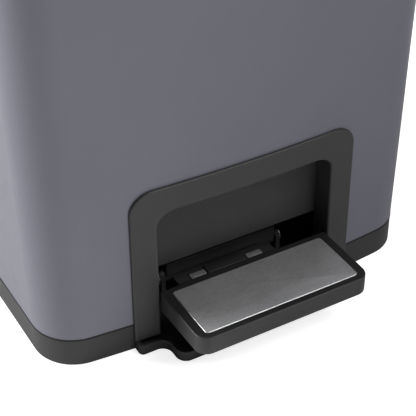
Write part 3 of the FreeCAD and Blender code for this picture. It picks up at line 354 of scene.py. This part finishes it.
# %% Dress the nodes
DRESS = {
    PAINT: ("body_shell", "lid_panel"),
    BASE_BLACK: ("base_tray",),
    BLACK: ("pedal_surround", "pedal_tread", "top_rim", "rear_grip"),
    # painted shade: the recess panel and the inner parts take the darker black
    INNER_BLACK_PAINTED_SHADE: ("recess_back_panel", "rod_guides", "bucket_shelf", "lid_liner", "lid_damper"),
    BUCKET: ("bucket_left", "bucket_right"),
    RUBBER: ("feet", "lid_buffers"),
    STAINLESS: ("tread_plate",),
    ZINC: ("surround_screws", "axle_clips", "shelf_screws", "hinge_brackets", "hinge_screws",
           "lid_arms", "lid_screws", "lid_crank", "pedal_lever", "lever_rivets"),
    BRIGHT_STEEL: ("pedal_axle", "hinge_shaft", "lift_rod"),
}
for material, names in DRESS.items():
    for name in names:
        for slot in nodes[name].material_slots:
            slot.material = material
print("dressed:", sum(len(names) for names in DRESS.values()), "of", len(nodes))

# %% [markdown]
# ## Pieces made in Blender
# Every new piece is a bmesh that starts from a primitive, a short profile or a merged copy
# of a CAD mesh. `new_piece` cleans it, shades it smooth but for its sharp edges, gives it
# its material, and lets it ride on the CAD body that carries it.

# %% Tools for pieces
SHARP_ANGLE = math.radians(32)
DOUBLES = 1e-6          # corners closer than this, in metres, are one
LEVEL = 1e-5            # heights closer than this, in metres, are the same
STEEP = 0.99            # the least upward part in the direction of an upright edge
EDGE_STEPS = 3


def merged_copy(node):
    """The CAD node's mesh as a bmesh whose loose triangles are joined."""
    mesh = bmesh.new()
    mesh.from_mesh(nodes[node].data)
    bmesh.ops.remove_doubles(mesh, verts=mesh.verts, dist=DOUBLES)
    return mesh


def new_piece(name, mesh, material, body, stands_for=(), trim=None, trimmed=None):
    """A piece that rides on body and stands for the CAD nodes in stands_for, if any.

    trim is a second material, for the faces for which trimmed(face) is true.
    """
    bmesh.ops.remove_doubles(mesh, verts=mesh.verts, dist=DOUBLES)
    bmesh.ops.recalc_face_normals(mesh, faces=mesh.faces)
    for face in mesh.faces:
        face.smooth = True
        face.material_index = int(trim is not None and trimmed(face))
    for edge in mesh.edges:
        edge.smooth = len(edge.link_faces) == 2 and edge.calc_face_angle() < SHARP_ANGLE
    data = bpy.data.meshes.new(name)
    mesh.to_mesh(data)
    mesh.free()
    data.materials.append(material)
    if trim is not None:
        data.materials.append(trim)
    piece = bpy.data.objects.new(name, data)
    bpy.context.scene.collection.objects.link(piece)
    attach(piece, body)
    if stands_for:
        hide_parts(*stands_for)
    print(name, "faces:", len(data.polygons))


def block(mesh, low, high):
    """Adds a box between two corners."""
    low, high = Vector(low), Vector(high)
    made = bmesh.ops.create_cube(mesh, size=1.0)["verts"]
    bmesh.ops.scale(mesh, vec=high - low, verts=made)
    bmesh.ops.translate(mesh, vec=(low + high) / 2, verts=made)


def soften(mesh, edges, width, segments):
    """Rounds the edges with a bevel of that width."""
    bmesh.ops.bevel(mesh, geom=edges, offset=width, offset_type="OFFSET", segments=segments,
                    profile=0.5, affect="EDGES", material=-1)


def upright(edge):
    """Whether the edge runs straight up and down."""
    first, second = (vert.co for vert in edge.verts)
    return abs((first - second).normalized().z) > STEEP


def at_height(edge, height):
    """Whether both ends of the edge lie at that height."""
    return all(abs(vert.co.z - height) < LEVEL for vert in edge.verts)


print("piece tools ready")

# %% [markdown]
# The moulded parts round the pedal are merged copies of the CAD meshes with some corners
# moved. A mould gives the foot of the tread a rising toe, so that it does not stub on the
# floor, and the seat of the plate is wider than in the CAD body. The surround's arch sits
# a little lower. `moulded_copy` takes a rule that says where each corner goes.

# %% The tread and the surround, reshaped
SEAT_GROWTH, SEAT_MARGIN, SEAT_SINK = 0.0015, 0.001, 1e-4
TOE_RISE, TOE_REACH, TOE_TOP, TOE_HEIGHT = 0.0045, 0.050, 0.035, 0.007
RIM_BAND, RIM_LEVEL = 0.0008, 0.9
tread_low, tread_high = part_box("pedal_tread")
plate_low, plate_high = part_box("tread_plate")


def moulded_copy(name, node, material, body, moved, trim=None, trimmed=None):
    """A piece in the node's place, with each corner where moved(corner) puts it."""
    mesh = merged_copy(node)
    for vert in mesh.verts:
        vert.co = moved(vert.co.copy())
    new_piece(name, mesh, material, body, (node,), trim, trimmed)


def tread_rule(corner):
    """Widens the seat of the plate and lifts the underside towards the toe."""
    beside = abs(abs(corner.x) - plate_high.x)
    if corner.z > plate_low.z - SEAT_SINK and beside < SEAT_MARGIN:
        corner.x += math.copysign(SEAT_GROWTH, corner.x)
    if corner.z < TOE_TOP and corner.y < tread_low.y + TOE_REACH:
        share = 1 - (corner.y - tread_low.y) / TOE_REACH
        corner.z += TOE_RISE * share * (TOE_TOP - corner.z) / TOE_HEIGHT
    return corner


def on_tread_rim(face):
    """Whether the face is part of the tread's flat rim."""
    return face.normal.z > RIM_LEVEL and face.calc_center_median().z > tread_high.z - RIM_BAND


ARCH_DROP, ARCH_FROM, ARCH_RUN = 0.0035, 0.114, 0.016
OUTER_DROP, OUTER_FROM, OUTER_RUN = 0.002, 0.131, 0.020
ARCH_HALF, ARCH_TOP = 0.0815, 0.1335


def surround_rule(corner):
    """Lowers the arch of the opening and, by less, the frame's outer edge above it."""
    drop, start, run = ARCH_DROP, ARCH_FROM, ARCH_RUN
    if abs(corner.x) > ARCH_HALF or corner.z > ARCH_TOP:
        drop, start, run = OUTER_DROP, OUTER_FROM, OUTER_RUN
    corner.z -= drop * min(max((corner.z - start) / run, 0.0), 1.0)
    return corner


# the upward faces of the tread's flat rim get the smoother black, which is also darker as painted
# shade
moulded_copy("tread_moulding", "pedal_tread", BLACK, "pedal", tread_rule, SMOOTH_BLACK_SHADED_TOP,
             on_tread_rim)
moulded_copy("recess_surround", "pedal_surround", BLACK, "bin", surround_rule)

# %% [markdown]
# The steel plate on the pedal is stamped: its corners are round and its rim is rolled
# over. The rim is polished, and its soft bend catches the light as a bright line along
# the front and the left. It is a box whose upright edges are rounded first, and then its
# whole top edge; the bent faces get the brighter steel.

# %% The brushed plate
PLATE_CORNER, PLATE_RIM, PLATE_PROUD = 0.003, 0.0007, 0.0006
CORNER_STEPS, RIM_STEPS = 6, 4
BEND_FROM, BEND_TO = 0.05, 0.99
plate_top = plate_high.z + PLATE_PROUD


def on_plate_rim(face):
    """Whether the face is part of the bend between the sides and the flat top."""
    return BEND_FROM < face.normal.z < BEND_TO


plate = bmesh.new()
block(plate, plate_low - Vector((SEAT_GROWTH, 0, 0)),
      (plate_high.x + SEAT_GROWTH, plate_high.y, plate_top))
soften(plate, [edge for edge in plate.edges if upright(edge)], PLATE_CORNER, CORNER_STEPS)
soften(plate, [edge for edge in plate.edges if at_height(edge, plate_top)], PLATE_RIM,
       RIM_STEPS)
new_piece("brushed_plate", plate, STAINLESS, "pedal", ("tread_plate",), POLISHED, on_plate_rim)

# %% [markdown]
# Behind the tread a moulded bar covers the axle barrel; its paler grey is painted light.
# Two snap hooks show as paler tabs in their windows, a painted highlight. A skin over the
# web and a cover between the hooks hide the rivets of the lever, darker as painted shade.
# Each is a box with softened edges, and the bar is as long as the barrel.

# %% The bar, the skin and the snap hooks behind the tread
AXLE_Y, AXLE_Z = -0.0875, 0.026
BAR_HALF, BAR_DEPTH, BAR_BOTTOM, BAR_TOP, BAR_EDGE = 0.052, 0.018, 0.029, 0.0415, 0.002
SKIN_HALF, SKIN_FRONT, SKIN_BACK, SKIN_EDGE = 0.0455, -0.1310, -0.1068, 0.0006
SKIN_BOTTOM, SKIN_TOP = AXLE_Z - 0.0002, AXLE_Z + 0.0016
COVER_HALF, COVER_FRONT = 0.0185, -0.1070
COVER_BACK = AXLE_Y - BAR_DEPTH / 2 + 0.0005
HOOK_WIDTH, HOOK_FRONT, HOOK_BACK, HOOK_EDGE = 0.0145, -0.1060, -0.1000, 0.0008
HOOK_BOTTOM, HOOK_TOP = 0.0226, AXLE_Z + 0.0012
HOOK_STARTS = {"left": -0.0340, "right": 0.0195}


def soft_block(name, material, low, high, width):
    """A box on the pedal whose edges are all rounded."""
    mesh = bmesh.new()
    block(mesh, low, high)
    soften(mesh, mesh.edges[:], width, EDGE_STEPS)
    new_piece(name, mesh, material, "pedal")


# the bar's paler grey is painted light
soft_block("axle_bar", BAR_PAINTED_LIGHT_GREY, (-BAR_HALF, AXLE_Y - BAR_DEPTH / 2, BAR_BOTTOM),
           (BAR_HALF, AXLE_Y + BAR_DEPTH / 2, BAR_TOP), BAR_EDGE)
# the skin and the rivet cover are darker as painted shade in the channel behind the tread
soft_block("web_skin", INNER_BLACK_PAINTED_SHADE, (-SKIN_HALF, SKIN_FRONT, SKIN_BOTTOM),
           (SKIN_HALF, SKIN_BACK, SKIN_TOP), SKIN_EDGE)
soft_block("rivet_cover", INNER_BLACK_PAINTED_SHADE, (-COVER_HALF, COVER_FRONT, SKIN_BOTTOM),
           (COVER_HALF, COVER_BACK, SKIN_TOP), SKIN_EDGE)
# the hooks' pale grey is a painted highlight
for side, low_x in HOOK_STARTS.items():
    soft_block(side + "_snap_hook", HOOK_PAINTED_HIGHLIGHT_GREY, (low_x, HOOK_FRONT, HOOK_BOTTOM),
               (low_x + HOOK_WIDTH, HOOK_BACK, HOOK_TOP), HOOK_EDGE)

# %% [markdown]
# The steel body stands in the base, and a thin near-black band in the joint between them
# is painted shadow; it shows as a dark line all round. The upper edge of the steel is
# folded into a narrow hem, a little proud of the wall. Both are cut from a merged copy of
# the steel body, keeping only its outer skin, and thickened.

# %% The painted seam shadow and the hem of the steel body
BAND_PROUD, SEAM_SHADOW_HEIGHT, HEM_HEIGHT = 0.0003, 0.0015, 0.0030
LYING = 0.5             # a face whose normal rises or falls by more than this lies level
steel_low, steel_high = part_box("body_shell")


def band(name, material, from_height, to_height):
    """The outer skin of the steel body between two heights, with a little thickness."""
    mesh = merged_copy("body_shell")
    for height, above in ((from_height, False), (to_height, True)):
        bmesh.ops.bisect_plane(mesh, geom=mesh.verts[:] + mesh.edges[:] + mesh.faces[:],
                               plane_co=(0, 0, height), plane_no=(0, 0, 1),
                               clear_outer=above, clear_inner=not above)
    middle = Vector((0, (steel_low.y + steel_high.y) / 2, 0))
    inner = [face for face in mesh.faces if abs(face.normal.z) > LYING
             or face.normal.dot(face.calc_center_median() - middle) < 0]
    bmesh.ops.delete(mesh, geom=inner, context="FACES")
    bmesh.ops.solidify(mesh, geom=mesh.faces[:], thickness=-BAND_PROUD)
    new_piece(name, mesh, material, "bin")


# a near-black band of painted shadow along the joint with the base
band("seam_shadow_band", SEAM_SHADOW_BLACK, steel_low.z, steel_low.z + SEAM_SHADOW_HEIGHT)
band("upper_hem", PAINT, steel_high.z - HEM_HEIGHT, steel_high.z)

# %% [markdown]
# The sheet that makes the body is wrapped round and its two ends are hooked together and
# pressed flat. This lock seam runs up the back, beside the grip, as a low bead.

# %% The lock seam
SEAM_MIDDLE, SEAM_WIDTH, SEAM_PROUD, SEAM_SUNK = 0.085, 0.007, 0.0008, 0.0004
SEAM_EDGE = SEAM_PROUD * 0.6
seam = bmesh.new()
block(seam, (SEAM_MIDDLE - SEAM_WIDTH / 2, steel_high.y - SEAM_SUNK, steel_low.z + SEAM_SHADOW_HEIGHT),
      (SEAM_MIDDLE + SEAM_WIDTH / 2, steel_high.y + SEAM_PROUD, steel_high.z - HEM_HEIGHT))
soften(seam, [edge for edge in seam.edges if upright(edge)], SEAM_EDGE, EDGE_STEPS)
new_piece("lock_seam", seam, PAINT, "bin")

# %% [markdown]
# Screw heads are small, but they are what the eye finds when the lid stands open. A head
# is a half profile spun round its axis; the flat in its middle is then inset and pushed
# down for the driver. One mesh holds all the screws of a row, as the CAD node does.

# %% The screws of the hinge and of the lid
HEAD_STEPS, HEAD_HEIGHT = 18, 0.0018
HEAD_PROFILE = ((1.0, 0.0), (1.0, 0.35), (0.86, 0.75), (0.5, 1.0), (0.0, 1.0))
SOCKET_EDGE, SOCKET_DEPTH = 0.12, 0.45
SHANK_STEPS, SHANK_SHARE = 16, 0.5
SCREW_SPREAD = 0.012    # points closer than this belong to one screw


def screw_head(mesh, centre, up, radius):
    """A domed head whose flat side lies at centre; up is 1 for a dome above it, or else -1."""
    profile = [Vector((out * radius, 0.0, rise * HEAD_HEIGHT * up)) for out, rise in HEAD_PROFILE]
    points = [mesh.verts.new(centre + place) for place in profile]
    edges = [mesh.edges.new(pair) for pair in zip(points, points[1:])]
    bmesh.ops.spin(mesh, geom=points + edges, cent=centre, axis=(0, 0, 1), angle=2 * math.pi,
                   steps=HEAD_STEPS, use_merge=True, use_duplicate=False)
    bmesh.ops.remove_doubles(mesh, verts=mesh.verts, dist=DOUBLES)
    top = centre.z + HEAD_HEIGHT * up
    flat = [face for face in mesh.faces
            if all(abs(vert.co.z - top) < DOUBLES for vert in face.verts)
            and (face.calc_center_median() - centre).to_2d().length < radius]
    bmesh.ops.inset_region(mesh, faces=flat, thickness=radius * SOCKET_EDGE, depth=0.0)
    sunk = {vert for face in flat for vert in face.verts}
    bmesh.ops.translate(mesh, vec=(0, 0, -SOCKET_DEPTH * HEAD_HEIGHT * up), verts=list(sunk))


def screw_ends(node, level):
    """The points of the CAD node at that level, in one list for each screw."""
    mesh = merged_copy(node)
    ends = [vert.co.copy() for vert in mesh.verts if abs(vert.co.z - level) < LEVEL]
    mesh.free()
    screws = []
    for end in ends:
        own = next((screw for screw in screws if (screw[0] - end).length < SCREW_SPREAD), None)
        if own is None:
            screws.append([end])
        else:
            own.append(end)
    return screws


def screw_row(name, node, body, up):
    """Heads and shanks in the place of each screw of a CAD node."""
    low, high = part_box(node)
    level, tip = (high.z, low.z) if up > 0 else (low.z, high.z)
    screws = screw_ends(node, level)
    mesh = bmesh.new()
    for ends in screws:
        left, right = min(end.x for end in ends), max(end.x for end in ends)
        front, back = min(end.y for end in ends), max(end.y for end in ends)
        radius = (right - left) / 2
        centre = Vector(((left + right) / 2, (front + back) / 2, level - HEAD_HEIGHT * up))
        screw_head(mesh, centre, up, radius)
        shank = bmesh.ops.create_cone(mesh, cap_ends=True, segments=SHANK_STEPS,
                                      radius1=radius * SHANK_SHARE, radius2=radius * SHANK_SHARE,
                                      depth=abs(centre.z - tip))["verts"]
        bmesh.ops.translate(mesh, vec=(centre.x, centre.y, (centre.z + tip) / 2), verts=shank)
    print(node, "screws:", len(screws))
    new_piece(name, mesh, ZINC, body, (node,))


screw_row("hinge_screw_heads", "hinge_screws", "bin", 1)
screw_row("lid_screw_heads", "lid_screws", "lid", -1)

# %% [markdown]
# ## Stage
# A plain white floor and white surroundings, as in a catalogue picture. Most light comes
# from a broad lamp on the left, which makes the side face pale while the front stays
# darker. A low lamp in front lights the front, one above lights the pedal, and the
# surroundings fill the shadows.

# %% Floor, surroundings and lamps
FLOOR_HALF, FLOOR_SHADE, FLOOR_LIFT = 6.0, 0.8, 0.78
SURROUNDINGS = 0.10


def plain_floor():
    """A pale floor that keeps shadows, lifted to white for the camera alone."""
    mesh = bmesh.new()
    bmesh.ops.create_grid(mesh, x_segments=1, y_segments=1, size=FLOOR_HALF)
    data = bpy.data.meshes.new("floor")
    mesh.to_mesh(data)
    mesh.free()
    floor = bpy.data.objects.new("floor", data)
    bpy.context.scene.collection.objects.link(floor)
    material, tree, shader = new_material("floor_white", Roughness=0.9, Specular_IOR_Level=0.1)
    shader.inputs["Base Color"].default_value = (FLOOR_SHADE, FLOOR_SHADE, FLOOR_SHADE, 1.0)
    shader.inputs["Emission Color"].default_value = (1.0, 1.0, 1.0, 1.0)
    path = tree.nodes.new("ShaderNodeLightPath")
    lifted = combined(tree, "MULTIPLY", path.outputs["Is Camera Ray"], FLOOR_LIFT)
    tree.links.new(lifted, shader.inputs["Emission Strength"])
    data.materials.append(material)
    return floor


def white_surroundings(strength):
    """Plain white to the camera, and an even light of that strength to everything else."""
    world = bpy.data.worlds.new("surroundings")
    world.use_nodes = True
    tree = world.node_tree
    even = tree.nodes["Background"]
    even.inputs["Strength"].default_value = strength
    seen = tree.nodes.new("ShaderNodeBackground")
    path = tree.nodes.new("ShaderNodeLightPath")
    mixed = tree.nodes.new("ShaderNodeMixShader")
    for node in (even, seen):
        node.inputs["Color"].default_value = (1.0, 1.0, 1.0, 1.0)
    tree.links.new(path.outputs["Is Camera Ray"], mixed.inputs["Fac"])
    tree.links.new(even.outputs["Background"], mixed.inputs[1])
    tree.links.new(seen.outputs["Background"], mixed.inputs[2])
    tree.links.new(mixed.outputs["Shader"], tree.nodes["World Output"].inputs["Surface"])
    bpy.context.scene.world = world


def soft_lamp(name, place, aim, width, height, watts):
    """A rectangular lamp that shines from place towards aim."""
    data = bpy.data.lights.new(name, "AREA")
    data.shape = "RECTANGLE"
    data.size, data.size_y, data.energy = width, height, watts
    lamp = bpy.data.objects.new(name, data)
    lamp.location = place
    lamp.rotation_euler = (Vector(aim) - Vector(place)).to_track_quat("-Z", "Y").to_euler()
    bpy.context.scene.collection.objects.link(lamp)
    return lamp


plain_floor()
white_surroundings(SURROUNDINGS)
LAMPS = [
    soft_lamp("left_lamp", (-2.20, 1.40, 1.50), (0.0, 0.0, 0.3), 1.0, 1.3, 140.0),
    soft_lamp("front_lamp", (0.45, -3.2, 0.45), (0.0, 0.0, 0.2), 1.6, 1.0, 18.0),
    soft_lamp("top_lamp", (0.9, -1.5, 2.3), (0.0, -0.1, 0.1), 1.3, 1.1, 34.0),
]
print("lamps:", [lamp.name for lamp in LAMPS])

# %% [markdown]
# ## Camera
# The photograph was taken from the left, above, and close in on the pedal. The angle,
# place and lens were worked out from the edges of the base, surround and pedal, whose
# sizes are known. The picture's centre isn't where the lens points, hence the shift.

# %% Camera at the photograph's angle
CAMERA_PLACE = Vector((-0.4074, -0.7852, 0.6738))
CAMERA_AIM = Vector((0.4124, 0.7022, -0.5804))
CAMERA_ROLL = math.radians(0.15)
SENSOR_WIDTH = 36.0
PICTURE_SIDE = 416.0
FOCAL_PIXELS = 1236.4
OPTICAL_CENTRE = (219.1, 184.0)

camera_data = bpy.data.cameras.new("camera")
camera_data.sensor_width = SENSOR_WIDTH
camera_data.lens = FOCAL_PIXELS / PICTURE_SIDE * SENSOR_WIDTH
camera_data.shift_x = (PICTURE_SIDE / 2 - OPTICAL_CENTRE[0]) / PICTURE_SIDE
camera_data.shift_y = (OPTICAL_CENTRE[1] - PICTURE_SIDE / 2) / PICTURE_SIDE
camera = bpy.data.objects.new("camera", camera_data)
bpy.context.scene.collection.objects.link(camera)
turn = CAMERA_AIM.to_track_quat("-Z", "Y").to_matrix().to_4x4()
camera.matrix_world = Matrix.Translation(CAMERA_PLACE) @ turn @ Matrix.Rotation(CAMERA_ROLL, 4, "Z")
bpy.context.scene.camera = camera
bpy.context.scene.view_settings.view_transform = "Standard"
print("camera: lens", round(camera_data.lens, 1), "mm")
